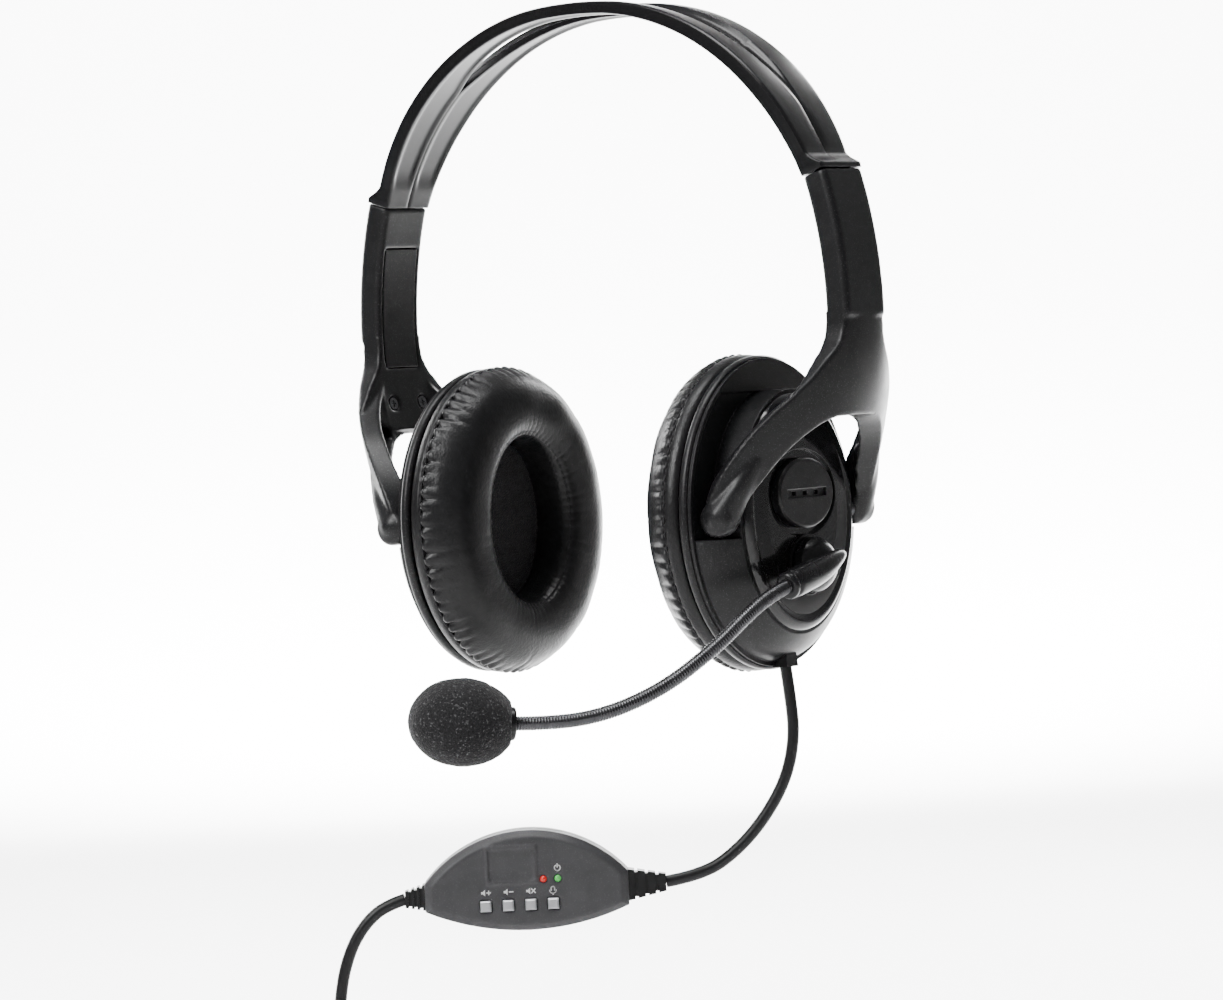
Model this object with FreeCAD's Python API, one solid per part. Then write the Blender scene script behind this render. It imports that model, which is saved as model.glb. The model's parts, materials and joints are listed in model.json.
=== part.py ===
import FreeCAD, Part
import math
import os

# Over-ear office headset with a boom microphone and an in-line controller.
# Millimetres. +X points to the microphone cup, -Y to the wearer's face, +Z up.
# The origin is midway between the ear cups, level with their centres.
# Everything is drawn for the +X side, and the -X side is its mirror image.

Vec = FreeCAD.Vector

# ---- driving dimensions ----
GAP = 0.3                       # clear gap between separate bodies

# headband: a flat crown arc between two shoulder arcs
BAND_TOP = 152.8
CROWN_R = 142.3
CROWN_ANGLE = 4.8               # degrees from the top to where the shoulder arc starts
SHOULDER_R = 80.5
BAND_WALL = 3.7
BAND_TOP_HALF_WIDTH = 14.1
BAND_END_HALF_WIDTH = 10.0
SLOT_HALF_LENGTH = 57.5
SLOT_HALF_WIDTH = 5.8

# yoke arm: an upper sleeve arc, about which the size adjuster slides, and a lower arc
ARM_X = 90.85                   # widest point of the arm
ARM_Z = 58.0                    # its height
SLEEVE_R = 140.0
LOWER_R = 105.0
ARM_THICK = 8.0
ARM_HALF_WIDTH = 10.0
SLEEVE_TOP_ANGLE = 16.9
SADDLE_ANGLE = 17.5             # where the arm ends above the fork's crotch
FORK_X = 56.0                   # plane from which the fork's outer face bulges
FORK_HALF_WIDTH = 38.6
LEG_THICK = 6.6

# ear cup, from the cushion's face outwards
PIVOT_X = 60.0
PIVOT_Z = -0.3
PIN_R = 2.0
PIN_CLEARANCE = 0.05
PIN_END_Y = 36.6
COLLAR_R = 3.0
TILT_LIMIT = 8                  # degrees that the cup tilts each way
FACE_X = 33.0
CUSHION_BACK_X = 49.6
RIM_HALF_Y = 41.4
RIM_HALF_Z = 46.0
BASE_X = 53.2                   # floor of the recess that the fork lies in
SHELF_X = 54.0
DRUM_X = 62.8
DRUM_HALF_Y = 28.5
DRUM_HALF_Z = 35.7
PLATE_X = 64.9
LEDGE_Z = -6.2
WALL = 2.0
CAP_Z = 5.4

# microphone boom
HUB_Z = -15.5
HUB_R = 8.0
BOOM_X = 74.0
BOOM_D = 4.2
ELBOW_R = 3.8

# cable and controller, in an upright plane turned about +Z
PLANE_ANGLE = 37.0
CORD_D = 3.6
GLAND_X = 56.0
GLAND_BOTTOM = -45.2
REMOTE_S = -79.0                # distance from the gland along the plane
REMOTE_Z = -103.5
REMOTE_HALF_THICK = 7.5
BUTTON_PITCH = 6.57
BUTTON_Z = -6.7

# hank of spare lead
HANK_S = -116.7
HANK_Z = -177.5
HANK_STRAIGHT = 28.0
HANK_PITCH = 3.7
HANK_LAYERS = 3
HANK_SLOTS = 4
HANK_INNER_R = 11.5


# ---- helpers ----
def save(name, shape):
    """Write one node."""
    shape.exportStep("parts/" + name + ".step")


def mirrored(shape):
    return shape.mirror(Vec(0, 0, 0), Vec(1, 0, 0))


def save_pair(name, right_shape):
    """Write the +X part and its mirror image."""
    save(name + "_right", right_shape)
    save(name + "_left", mirrored(right_shape))


def box(x0, x1, y0, y1, z0, z1):
    return Part.makeBox(x1 - x0, y1 - y0, z1 - z0, Vec(x0, y0, z0))


def rod(start, direction, radius, length):
    return Part.makeCylinder(radius, length, Vec(*start), Vec(*direction))


def oval_wire(x, half_y, half_z, y=0.0, z=0.0):
    """Ellipse in a plane of constant x."""
    centre = Vec(x, y, z)
    along_y = centre + Vec(0, half_y, 0)
    along_z = centre + Vec(0, 0, half_z)
    if half_y > half_z:
        curve = Part.Ellipse(along_y, along_z, centre)
    else:
        curve = Part.Ellipse(along_z, along_y, centre)
    return Part.Wire(curve.toShape())


def oval(x0, x1, half_y, half_z, y=0.0, z=0.0):
    """Elliptical slab between two x planes."""
    return Part.Face(oval_wire(x0, half_y, half_z, y, z)).extrude(Vec(x1 - x0, 0, 0))


def oval_loft(sections):
    """Smooth solid through ellipses given as (x, half_y, half_z)."""
    return Part.makeLoft([oval_wire(*section) for section in sections], True)


def polar(centre, radius, angle):
    """Point in the XZ plane, angle in degrees above +X."""
    a = math.radians(angle)
    return Vec(centre.x + radius * math.cos(a), 0, centre.z + radius * math.sin(a))


def arc_edge(a, b, c):
    return Part.Arc(a, b, c).toShape()


def line_edge(a, b):
    return Part.LineSegment(a, b).toShape()


def slab_y(edges, half_width):
    """Extrude an outline in the XZ plane to both sides of it."""
    face = Part.Face(Part.Wire(Part.__sortEdges__(edges)))
    face.translate(Vec(0, -half_width, 0))
    return face.extrude(Vec(0, 2 * half_width, 0))


def rounded(shape, radius, keep):
    """Round the edges for which keep(edge) is true."""
    return shape.makeFillet(radius, [edge for edge in shape.Edges if keep(edge)])


def tube(points, diameter, name):
    """Round bar along straight runs joined by tangent arcs; prints its tightest radius."""
    points = [Vec(*p) for p in points]
    edges = []
    radii = []
    start = points[0]
    for before, corner, after in zip(points, points[1:], points[2:]):
        inward = corner - before
        outward = after - corner
        cut = 0.45 * min(inward.Length, outward.Length)
        turn = inward.getAngle(outward)
        radius = cut / math.tan(turn / 2)
        radii.append(radius)
        inward.normalize()
        outward.normalize()
        first = corner - inward * cut
        last = corner + outward * cut
        bisector = outward - inward
        bisector.normalize()
        middle = corner + bisector * (radius / math.cos(turn / 2) - radius)
        edges.append(line_edge(start, first))
        edges.append(arc_edge(first, middle, last))
        start = last
    edges.append(line_edge(start, points[-1]))
    path = Part.Wire(edges)
    heading = points[1] - points[0]
    profile = Part.Wire(Part.makeCircle(diameter / 2, points[0], heading))
    solid = path.makePipeShell([profile], True, False)
    ideal = math.pi * diameter ** 2 / 4 * path.Length
    print("%s: length %.1f, tightest radius %.1f, volume ratio %.4f"
          % (name, path.Length, min(radii), solid.Volume / ideal))
    return solid


def in_plane(s, z):
    """Point of the cable's upright plane, s along it from the gland."""
    a = math.radians(PLANE_ANGLE)
    return (GLAND_X + s * math.cos(a), s * math.sin(a), z)


def place_in_plane(shape, s, z):
    """Move a part drawn about its own centre, with -Y as its front, into the cable's plane."""
    shape = shape.copy()
    turn = FreeCAD.Rotation(Vec(0, 0, 1), PLANE_ANGLE)
    shape.Placement = FreeCAD.Placement(Vec(*in_plane(s, z)), turn)
    return shape


# ---- arm curves ----
SLEEVE_CENTRE = Vec(ARM_X - SLEEVE_R, 0, ARM_Z)
LOWER_CENTRE = Vec(ARM_X - LOWER_R, 0, ARM_Z)


def arm_band(near, far, low_angle, high_angle, half_width):
    """Band that follows the arm, between two depths below its outer face.

    Angles above 0 lie on the sleeve arc, and below 0 on the lower arc.
    """
    def side(depth):
        edges = []
        low = max(low_angle, 0)
        if high_angle > 0:
            ends = [polar(SLEEVE_CENTRE, SLEEVE_R - depth, a)
                    for a in (low, (low + high_angle) / 2, high_angle)]
            edges.append(arc_edge(*ends))
        if low_angle < 0:
            top = min(high_angle, 0)
            ends = [polar(LOWER_CENTRE, LOWER_R - depth, a)
                    for a in (low_angle, (low_angle + top) / 2, top)]
            edges.append(arc_edge(*ends))
        return edges

    def at(depth, angle):
        if angle > 0:
            return polar(SLEEVE_CENTRE, SLEEVE_R - depth, angle)
        return polar(LOWER_CENTRE, LOWER_R - depth, angle)

    edges = side(near) + side(far)
    edges.append(line_edge(at(near, low_angle), at(far, low_angle)))
    edges.append(line_edge(at(near, high_angle), at(far, high_angle)))
    return slab_y(edges, half_width)


# ---- headband and its tongues ----
TONGUE_NEAR = 3.6
TONGUE_FAR = 5.2
TONGUE_HALF_WIDTH = 6.5
TONGUE_LOW = 2.0
TONGUE_HIGH = 18.2


SLOT_STATIONS = [SLOT_HALF_LENGTH * count / 8 for count in range(-8, 9)]


def slot_half_width(x):
    return SLOT_HALF_WIDTH * (1 - (x / SLOT_HALF_LENGTH) ** 4)


def headband():
    crown_centre = Vec(0, 0, BAND_TOP - CROWN_R)
    joint = polar(crown_centre, CROWN_R, 90 - CROWN_ANGLE)
    shoulder = polar(joint, -SHOULDER_R, 90 - CROWN_ANGLE)
    lip_angle = SLEEVE_TOP_ANGLE + math.degrees(GAP / SLEEVE_R)
    lip_out = polar(SLEEVE_CENTRE, SLEEVE_R, lip_angle)
    lip_in = polar(SLEEVE_CENTRE, SLEEVE_R - ARM_THICK, lip_angle)
    lip_top = lip_out + Vec(-0.4, 0, 1.5)
    flare = polar(shoulder, SHOULDER_R, 23)
    inner_mid = polar(shoulder, SHOULDER_R - BAND_WALL - 0.9, 42)
    inner_top = polar(shoulder, SHOULDER_R - BAND_WALL, 90 - CROWN_ANGLE)
    flip = lambda p: Vec(-p.x, 0, p.z)
    edges = [arc_edge(flip(joint), Vec(0, 0, BAND_TOP), joint),
             arc_edge(flip(inner_top), Vec(0, 0, BAND_TOP - BAND_WALL), inner_top)]
    for side in (lambda p: p, flip):
        edges.append(arc_edge(side(joint), side(polar(shoulder, SHOULDER_R, 55)), side(flare)))
        edges.append(arc_edge(side(flare), side(flare + Vec(1.7, 0, -1.5)), side(lip_top)))
        edges.append(line_edge(side(lip_top), side(lip_out)))
        edges.append(line_edge(side(lip_out), side(lip_in)))
        edges.append(arc_edge(side(lip_in), side(inner_mid), side(inner_top)))
    band = slab_y(edges, BAND_TOP_HALF_WIDTH + 1)
    low = 90.0
    high = BAND_TOP + 1
    middle = 124.0
    waist = 12.9
    sides = []
    for sign in (-1, 1):
        sides.append(arc_edge(Vec(0, sign * BAND_END_HALF_WIDTH, 97.0),
                              Vec(0, sign * waist, middle),
                              Vec(0, sign * BAND_TOP_HALF_WIDTH, high)))
        sides.append(line_edge(Vec(0, sign * BAND_END_HALF_WIDTH, 97.0),
                               Vec(0, sign * BAND_END_HALF_WIDTH, low)))
    for z, half in ((low, BAND_END_HALF_WIDTH), (high, BAND_TOP_HALF_WIDTH)):
        sides.append(line_edge(Vec(0, -half, z), Vec(0, half, z)))
    taper = Part.Face(Part.Wire(Part.__sortEdges__(sides)))
    taper.translate(Vec(-100, 0, 0))
    band = band.common(taper.extrude(Vec(200, 0, 0)))
    edges = []
    for sign in (-1, 1):
        edge = Part.BSplineCurve()
        edge.interpolate([Vec(x, sign * slot_half_width(x), 100) for x in SLOT_STATIONS])
        edges.append(edge.toShape())
    slot = Part.Face(Part.Wire(Part.__sortEdges__(edges))).extrude(Vec(0, 0, 60))
    band = band.cut(slot)
    pocket = tongue()
    return band.cut(pocket).cut(mirrored(pocket))


def tongue():
    """Curved strip of the size adjuster, with click notches along one edge."""
    strip = arm_band(TONGUE_NEAR, TONGUE_FAR, TONGUE_LOW, TONGUE_HIGH, TONGUE_HALF_WIDTH)
    for step in range(6):
        notch = polar(SLEEVE_CENTRE, SLEEVE_R - TONGUE_FAR, 3.5 + 1.6 * step)
        strip = strip.cut(rod((notch.x - 3, TONGUE_HALF_WIDTH, notch.z), (1, 0, 0), 0.9, 8))
    return strip


# ---- yoke ----
# The fork leg's edges on its outer face: (y, z) of the upper edge, then of the lower edge.
UPPER_EDGE = [(15.2, 44.2), (19.2, 39.5), (23.5, 35.1), (27.8, 30.7), (31.7, 25.6),
              (35.1, 18.6), (37.3, 11.3), (38.3, 4.5)]
LOWER_EDGE = [(-7.0, 27.4), (3.0, 27.6), (9.4, 27.2), (15.0, 25.3), (19.9, 22.0), (24.3, 17.4),
              (28.2, 11.0), (31.2, 4.6), (32.6, -0.8)]
SADDLE_EDGE = [(10.0, 57.0), (10.2, 52.5), (11.6, 48.3), (15.2, 44.2), (19.2, 39.5), (23.5, 35.1)]
TIP_R = 5.2
TIP_NEAR_Y = 32.2
TIP_FAR_Y = 38.2
SCREW_Y = 7.0
SCREW_ANGLE = -12.5
COVER_HALF_WIDTH = 7.6
COVER_THICK = 1.5


def fork_reach(z):
    """How far the fork's outer face bulges from its plane at a height."""
    return LOWER_CENTRE.x + math.sqrt(LOWER_R ** 2 - (z - ARM_Z) ** 2) - FORK_X


def fork_face(y, z):
    """Point of the fork's outer face, which leans in with the arm's lower arc."""
    return Vec(FORK_X + fork_reach(z) * math.sqrt(1 - (y / FORK_HALF_WIDTH) ** 2), y, z)


def fork_column(depth):
    """Leaning oval column that lies a depth inside the fork's outer face."""
    sections = []
    for z in (-12.0, 6.0, 24.0, 42.0, 60.0):
        centre = Vec(FORK_X, 0, z)
        along_y = centre + Vec(0, FORK_HALF_WIDTH - depth, 0)
        along_x = centre + Vec(fork_reach(z) - depth, 0, 0)
        sections.append(Part.Wire(Part.Ellipse(along_y, along_x, centre).toShape()))
    return Part.makeLoft(sections, True)


def leg_outline(inset):
    """The leg's outline, cut along the diagonal between +X and +Y."""
    across = Vec(-1, 1, 0).normalize()
    through = Vec(1, 1, 0).normalize()
    curves = []
    for stations, shift in ((UPPER_EDGE, -inset), (LOWER_EDGE, inset)):
        points = []
        for station in stations:
            face = fork_face(*station)
            points.append(across * face.dot(across) + Vec(0, 0, face.z + shift) + through * 30)
        curve = Part.BSplineCurve()
        curve.interpolate(points)
        curves.append((curve.toShape(), points))
    upper, lower = curves
    closing = [line_edge(upper[1][0], lower[1][0]), line_edge(upper[1][-1], lower[1][-1])]
    outline = Part.Wire(Part.__sortEdges__([upper[0], lower[0]] + closing))
    return Part.Face(outline).extrude(through * 70)


def fork_leg():
    """One leg of the fork, hollowed along its inner side, with its round tip."""
    leg = fork_column(0).cut(fork_column(LEG_THICK)).common(leg_outline(0))
    leg = leg.common(box(FORK_X, 95, 0, TIP_FAR_Y, -20, 60))
    channel = fork_column(3.0).common(leg_outline(1.8)).common(box(66, 95, 12, 60, -20, 60))
    leg = leg.cut(channel)
    tip = rod((PIVOT_X, TIP_NEAR_Y, PIVOT_Z), (0, 1, 0), TIP_R, TIP_FAR_Y - TIP_NEAR_Y)
    tip = rounded(tip, 1.6, lambda e: e.BoundBox.YMin > TIP_FAR_Y - 0.1)
    leg = leg.fuse(tip)
    leg = leg.cut(rod((PIVOT_X, 20, PIVOT_Z), (0, 1, 0), COLLAR_R + 0.6, TIP_NEAR_Y - 20))
    for angle in (-TILT_LIMIT, 0, TILT_LIMIT):
        room = oval(50, DRUM_X + 1.0, DRUM_HALF_Y + 0.7, DRUM_HALF_Z + 0.7)
        room = room.fuse(oval(DRUM_X - 1, PLATE_X + 0.6, 27.3, 35.1))
        room.rotate(Vec(PIVOT_X, 0, PIVOT_Z), Vec(0, 1, 0), angle)
        leg = leg.cut(room)
    return leg


def saddle():
    """Where the arm widens into the fork; its contour runs on into the legs' upper edges."""
    corners = [Vec(60, y, z) for y, z in SADDLE_EDGE]
    contour = Part.BSplineCurve()
    contour.interpolate(corners)
    ends = [corners[-1], Vec(60, 9.4, 27.3), Vec(60, 0, 27.5), Vec(60, 0, 57.0), corners[0]]
    edges = [contour.toShape()] + [line_edge(a, b) for a, b in zip(ends, ends[1:])]
    half = Part.Face(Part.Wire(Part.__sortEdges__(edges))).extrude(Vec(40, 0, 0))
    both = half.fuse(half.mirror(Vec(0, 0, 0), Vec(0, 1, 0)))
    return arm_band(0, ARM_THICK, -SADDLE_ANGLE, 1.0, 30.0).common(both).common(fork_column(0))


def screw_axis():
    """Seat and direction of the screws that close the arm, on its inner side."""
    seat = polar(LOWER_CENTRE, LOWER_R - ARM_THICK, SCREW_ANGLE)
    out = seat - LOWER_CENTRE
    out.normalize()
    return seat, out


def yoke():
    arm = arm_band(0, ARM_THICK, -SADDLE_ANGLE + 1.0, SLEEVE_TOP_ANGLE, ARM_HALF_WIDTH)
    along = [edge for edge in arm.Edges
             if edge.BoundBox.ZLength > 15 and edge.BoundBox.YLength < 0.1]
    arm = arm.makeFillet(1.6, along)
    bulge = fork_column(0).fuse(box(50, 100, -30, 30, 56, 110))
    arm = arm.common(bulge)
    leg = fork_leg()
    mirror_leg = leg.mirror(Vec(0, 0, 0), Vec(0, 1, 0))
    solid = arm.fuse([saddle(), leg, mirror_leg]).removeSplitter()
    pocket = arm_band(TONGUE_NEAR - 0.3, TONGUE_FAR + 0.3, 1.6, SLEEVE_TOP_ANGLE + 0.5,
                      TONGUE_HALF_WIDTH + 0.4)
    cover_seat = arm_band(ARM_THICK - COVER_THICK, ARM_THICK + 1, -6.0, 11.5, COVER_HALF_WIDTH)
    reach = PIN_END_Y + 0.3
    pin_hole = rod((PIVOT_X, -reach, PIVOT_Z), (0, 1, 0), PIN_R + PIN_CLEARANCE, 2 * reach)
    solid = solid.cut(pocket).cut(cover_seat).cut(pin_hole)
    seat, out = screw_axis()
    for sign in (-1, 1):
        start = seat + Vec(0, sign * SCREW_Y, 0) - out * 2
        solid = solid.cut(rod(start, out, 2.3, 3.4))
        solid = solid.cut(rod(start, out, 1.0, 7.5))
    return solid


def yoke_cover():
    return arm_band(ARM_THICK - COVER_THICK + 0.05, ARM_THICK - 0.1, -5.9, 11.4,
                    COVER_HALF_WIDTH - 0.1)


def yoke_screws():
    """Two pan-head screws with a cross recess, in the counterbores above the fork."""
    seat, out = screw_axis()
    screws = []
    for sign in (-1, 1):
        base = seat + Vec(0, sign * SCREW_Y, 0) + out * 1.4
        head = rod(base - out * 1.1, out, 1.9, 1.1)
        shank = rod(base, out, 0.95, 4.0)
        cross = box(-0.25, 0.25, -1.1, 1.1, -1.0, 0.6).fuse(box(-1.1, 1.1, -0.25, 0.25, -1.0, 0.6))
        turn = FreeCAD.Rotation(Vec(0, 0, 1), out)
        cross.Placement = FreeCAD.Placement(base - out * 1.1, turn)
        screws.append(head.fuse(shank).cut(cross))
    return Part.makeCompound(screws)


# ---- ear cup ----
DRIVER_R = 20.0
DRIVER_X = 49.95
CUP_SCREWS = [(y, z) for y in (-18.0, 18.0) for z in (-24.0, 24.0)]


def ear_cushion():
    """Plain closed ring: the padded leather cushion's outer size."""
    ring = oval(FACE_X, CUSHION_BACK_X, 41.6, 46.4).cut(oval(FACE_X - 1, 51, 17.4, 24.0))
    ring = rounded(ring, 6.5, lambda e: abs(e.BoundBox.Center.x - FACE_X) < 0.1)
    return rounded(ring, 3.0, lambda e: abs(e.BoundBox.Center.x - CUSHION_BACK_X) < 0.1
                   and e.BoundBox.ZLength > 60)


def cup_rim():
    """Front housing: the rounded flange, and the baffle that carries the driver."""
    rim = oval(49.9, 53.0, RIM_HALF_Y, RIM_HALF_Z)
    rim = rounded(rim, 1.3, lambda e: e.BoundBox.ZLength > 60)
    rim = rim.cut(oval(51.5, 54, 40.6, 45.1))
    rim = rim.cut(oval(49, 52, DRIVER_R + 0.1, DRIVER_R + 0.1))
    for y, z in CUP_SCREWS:
        rim = rim.cut(rod((49, y, z), (1, 0, 0), 1.6, 3))
    return rim


def cup_back():
    """Outer housing: base disc, raised drum, lower dome, and the recess for the fork."""
    base = oval(51.55, SHELF_X, 40.5, 45.0)
    dome = oval_loft([(53.0, 39.6, 44.0), (56.5, 37.6, 42.6), (60.0, 33.6, 39.6),
                      (DRUM_X, DRUM_HALF_Y, DRUM_HALF_Z)])
    dome = dome.common(box(50, 70, -60, 60, -60, LEDGE_Z))
    drum = oval(51.55, DRUM_X, DRUM_HALF_Y, DRUM_HALF_Z)
    recess = oval(BASE_X, 60, 39.2, 43.6).common(box(50, 70, -60, 60, LEDGE_Z, DRUM_HALF_Z - 0.2))
    solid = base.cut(recess).fuse([dome, drum])
    hollow = oval(50, DRUM_X - WALL, DRUM_HALF_Y - WALL, DRUM_HALF_Z - WALL)
    low_hollow = oval_loft([(51.0, 37.4, 41.8), (54.5, 35.8, 40.6), (58.0, 31.6, 37.4),
                            (DRUM_X - WALL, DRUM_HALF_Y - WALL, DRUM_HALF_Z - WALL)])
    low_hollow = low_hollow.common(box(50, 70, -60, 60, -60, LEDGE_Z - WALL))
    solid = solid.cut(hollow.fuse(low_hollow))
    for y, z in CUP_SCREWS:
        post = rod((51.55, y, z), (1, 0, 0), 2.8, DRUM_X - 51.55 - 1)
        solid = solid.fuse(post.common(drum.fuse(dome)))
    for y, z in CUP_SCREWS:
        solid = solid.cut(rod((50, y, z), (1, 0, 0), 1.2, 8))
    solid = solid.cut(rod((PIVOT_X - 0.0, -50, PIVOT_Z), (0, 1, 0), PIN_R, 100))
    return solid.removeSplitter()


def side_plate():
    """Crowned glossy oval plate, with a well for the centre cap."""
    plate = oval_loft([(DRUM_X + 0.05, 27.0, 34.8), (DRUM_X + 0.9, 26.6, 34.3),
                       (PLATE_X - 0.5, 23.5, 30.0)])
    crown = oval_loft([(PLATE_X - 0.5, 23.5, 30.0), (PLATE_X - 0.1, 19.0, 25.0),
                       (PLATE_X, 17.5, 22.0)])
    plate = plate.fuse(crown).removeSplitter()
    return plate.cut(oval(PLATE_X - 1.4, PLATE_X + 1, 17.0, 12.8, 0, CAP_Z))


def centre_cap():
    """Oval cap with a slot holding three small vents."""
    cap = oval(PLATE_X - 1.35, PLATE_X + 1.8, 13.8, 10.3, 0, CAP_Z)
    cap = cap.makeChamfer(0.6, [e for e in cap.Edges if e.BoundBox.XMin > PLATE_X + 1.7])
    cap = cap.cut(box(PLATE_X + 0.9, PLATE_X + 3, -9.8, 9.8, CAP_Z - 1.2, CAP_Z + 1.2))
    for y in (-5.6, 0.0, 5.6):
        cap = cap.cut(box(PLATE_X - 0.2, PLATE_X + 2, y - 1.1, y + 1.1, CAP_Z - 0.6, CAP_Z + 0.6))
    return cap


def driver():
    """Speaker frame with its magnet pot behind it."""
    frame = rod((DRIVER_X, 0, 0), (1, 0, 0), DRIVER_R - 1.0, 1.4)
    flange = rod((DRIVER_X + 1.4, 0, 0), (1, 0, 0), DRIVER_R, 1.2)
    back = rod((DRIVER_X + 2.6, 0, 0), (1, 0, 0), DRIVER_R - 1.6, 3.0)
    magnet = rod((DRIVER_X + 5.6, 0, 0), (1, 0, 0), 8.5, 4.5)
    solid = frame.fuse([flange, back, magnet])
    solid = solid.cut(rod((DRIVER_X - 1, 0, 0), (1, 0, 0), DRIVER_R - 2.4, 1.0 + 3.8))
    return solid.removeSplitter()


def diaphragm():
    """Thin dome inside the speaker frame."""
    cone = Part.makeCone(DRIVER_R - 2.6, 9.0, 2.0, Vec(DRIVER_X + 1.2, 0, 0), Vec(1, 0, 0))
    hollow = Part.makeCone(DRIVER_R - 2.9, 8.7, 1.7, Vec(DRIVER_X + 1.2, 0, 0), Vec(1, 0, 0))
    return cone.cut(hollow)


def cup_screws():
    screws = []
    for y, z in CUP_SCREWS:
        head = rod((49.95, y, z), (1, 0, 0), 1.5, 1.5)
        slot = box(49.9, 50.4, y - 1.0, y + 1.0, z - 0.2, z + 0.2)
        shank = rod((51.45, y, z), (1, 0, 0), 1.15, 6.0)
        screws.append(head.fuse(shank).cut(slot))
    return Part.makeCompound(screws)


def pivot_pins():
    """Two shouldered pins that carry the cup in the fork's tips."""
    pins = []
    for sign in (-1, 1):
        shaft = rod((PIVOT_X, sign * 26.7, PIVOT_Z), (0, sign, 0), PIN_R, PIN_END_Y - 26.7)
        collar = rod((PIVOT_X, sign * (DRUM_HALF_Y + 0.02), PIVOT_Z), (0, sign, 0), COLLAR_R,
                     TIP_NEAR_Y - DRUM_HALF_Y - GAP)
        pins.append(shaft.fuse(collar).removeSplitter())
    return Part.makeCompound(pins)


def make_cups():
    save_pair("ear_cushion", ear_cushion())
    save_pair("cushion_ring", oval(49.62, 49.88, 38.0, 42.5).cut(oval(49, 51, 22.5, 24.5)))
    save_pair("grille_cloth", oval(46.2, 46.9, 17.1, 23.7))
    save_pair("cup_rim", cup_rim())
    save_pair("side_plate", side_plate())
    save_pair("centre_cap", centre_cap())
    save_pair("driver", driver())
    save_pair("diaphragm", diaphragm())
    save_pair("cup_screws", cup_screws())
    save_pair("pivot_pins", pivot_pins())
    back = cup_back()
    save("cup_back_left", mirrored(back))
    save("cup_back_right", back.cut(cable_gland()))


# ---- microphone boom ----
ELBOW_BACK_Y = 4.0
ELBOW_FRONT_Y = -23.4
ELBOW_FRONT_Z = -20.6
BOOM_ROUTE = [(74.0, -28.2, -21.6), (72.6, -38.5, -26.2), (67.6, -50.6, -36.2),
              (59.4, -66.0, -46.8), (48.4, -81.7, -53.2), (36.9, -96.0, -53.8),
              (29.5, -103.3, -52.9)]
MIC_AXIS = (-0.72, -0.69, 0.085)


def mic_hub_ring():
    """Stepped collar fixed on the plate, in which the boom turns."""
    ring = rod((PLATE_X - 1.2, 0, HUB_Z), (1, 0, 0), HUB_R + 1.0, 2.4)
    return ring.cut(side_plate()).cut(rod((PLATE_X - 3, 0, HUB_Z), (1, 0, 0), 5.0, 9))


def mic_hub():
    """Turning dome with its pivot boss."""
    dome = Part.makeSphere(HUB_R + 0.6, Vec(66.0, 0, HUB_Z))
    dome = dome.common(rod((PLATE_X + 1.5, 0, HUB_Z), (1, 0, 0), HUB_R, 12))
    boss = rod((PLATE_X + 0.35, 0, HUB_Z), (1, 0, 0), 4.9, 1.4)
    return dome.fuse(boss).removeSplitter()


def mic_elbow():
    """Holder that carries the gooseneck, rounded behind and collared in front."""
    back = Vec(BOOM_X, ELBOW_BACK_Y, HUB_Z + 0.6)
    front = Vec(BOOM_X, ELBOW_FRONT_Y, ELBOW_FRONT_Z)
    along = front - back
    length = along.Length
    along.normalize()
    body = rod(back, along, ELBOW_R, length - 4.6).fuse(Part.makeSphere(ELBOW_R, back))
    collar = rod(back + along * (length - 4.2), along, ELBOW_R + 0.35, 4.2)
    neck = rod(back + along * (length - 4.8), along, ELBOW_R - 0.7, 1.0)
    collar = rounded(collar, 0.9, lambda e: e.BoundBox.DiagonalLength > 8)
    solid = body.fuse([neck, collar]).cut(mic_hub())
    return solid.cut(rod(front - along * 6, along, BOOM_D / 2 + 0.03, 8))


def mic_foam():
    """Windscreen: a closed egg with the bore that the capsule sits in."""
    half_length = 15.4
    half_height = 12.4
    curve = Part.Ellipse(Vec(half_length, 0, 0), Vec(0, 0, half_height), Vec(0, 0, 0))
    profile = [curve.toShape(0, math.pi), line_edge(Vec(-half_length, 0, 0), Vec(half_length, 0, 0))]
    face = Part.Face(Part.Wire(profile))
    egg = face.revolve(Vec(0, 0, 0), Vec(1, 0, 0), 360)
    egg = egg.cut(rod((-17, 0, 0), (1, 0, 0), 5.4, 20))
    return at_mic(egg)


def at_mic(shape):
    """Place a part drawn along +X, about the windscreen's centre, on the boom's end."""
    axis = Vec(*MIC_AXIS)
    axis.normalize()
    shape = shape.copy()
    centre = Vec(*BOOM_ROUTE[-1]) + axis * 9.8
    shape.Placement = FreeCAD.Placement(centre, FreeCAD.Rotation(Vec(1, 0, 0), axis))
    return shape


def make_boom():
    save("mic_hub_ring", mic_hub_ring())
    save("mic_hub", mic_hub())
    save("mic_elbow", mic_elbow())
    neck_start = Vec(*BOOM_ROUTE[0])
    back = Vec(BOOM_X, ELBOW_BACK_Y, HUB_Z + 0.6)
    inside = neck_start + (back - neck_start).normalize() * 9.5
    route = [tuple(inside)] + BOOM_ROUTE
    save("gooseneck", tube(route, BOOM_D, "gooseneck"))
    collar = rod((-15.0, 0, 0), (1, 0, 0), 4.7, 3.4).cut(rod((-16, 0, 0), (1, 0, 0), 2.3, 6))
    collar = rounded(collar, 0.9, lambda e: e.BoundBox.XMax < -14.9 and e.BoundBox.YLength > 8)
    save("mic_collar", at_mic(collar))
    save("mic_capsule", at_mic(rod((-7.7, 0, 0), (1, 0, 0), 4.8, 9.5)))
    save("mic_foam", mic_foam())


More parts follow.
